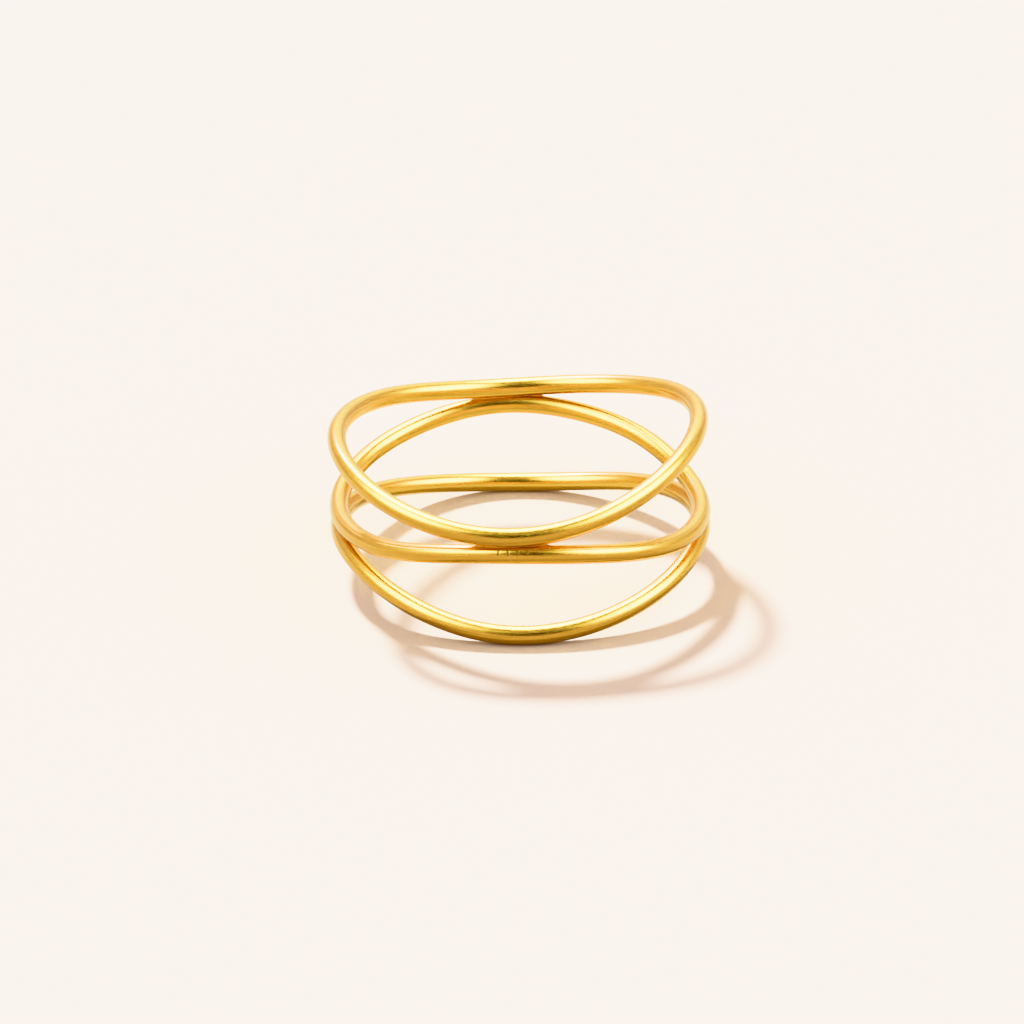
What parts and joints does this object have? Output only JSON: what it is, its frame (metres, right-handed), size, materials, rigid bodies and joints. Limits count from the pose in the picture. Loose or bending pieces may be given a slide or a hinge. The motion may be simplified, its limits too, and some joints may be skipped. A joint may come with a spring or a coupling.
{
  "type": "stackable ring",
  "caption": "Open finger ring of wavy round gold wire loops, soldered crest to trough so that eye-shaped gaps show between them.",
  "frame": {"origin": "on the finger axis, at the surface that the ring rests on when it lies on its side", "axes": "+Z along the finger axis, up; -Y is the front, where the middle loop is marked; +X is the right"},
  "size_m": [0.0192, 0.0192, 0.0083],
  "materials": {
    "gold": "polished yellow gold with fine satin wear"
  },
  "bodies": {
    "root": {"wave_ring": "gold"}
  },
  "joints": []
}
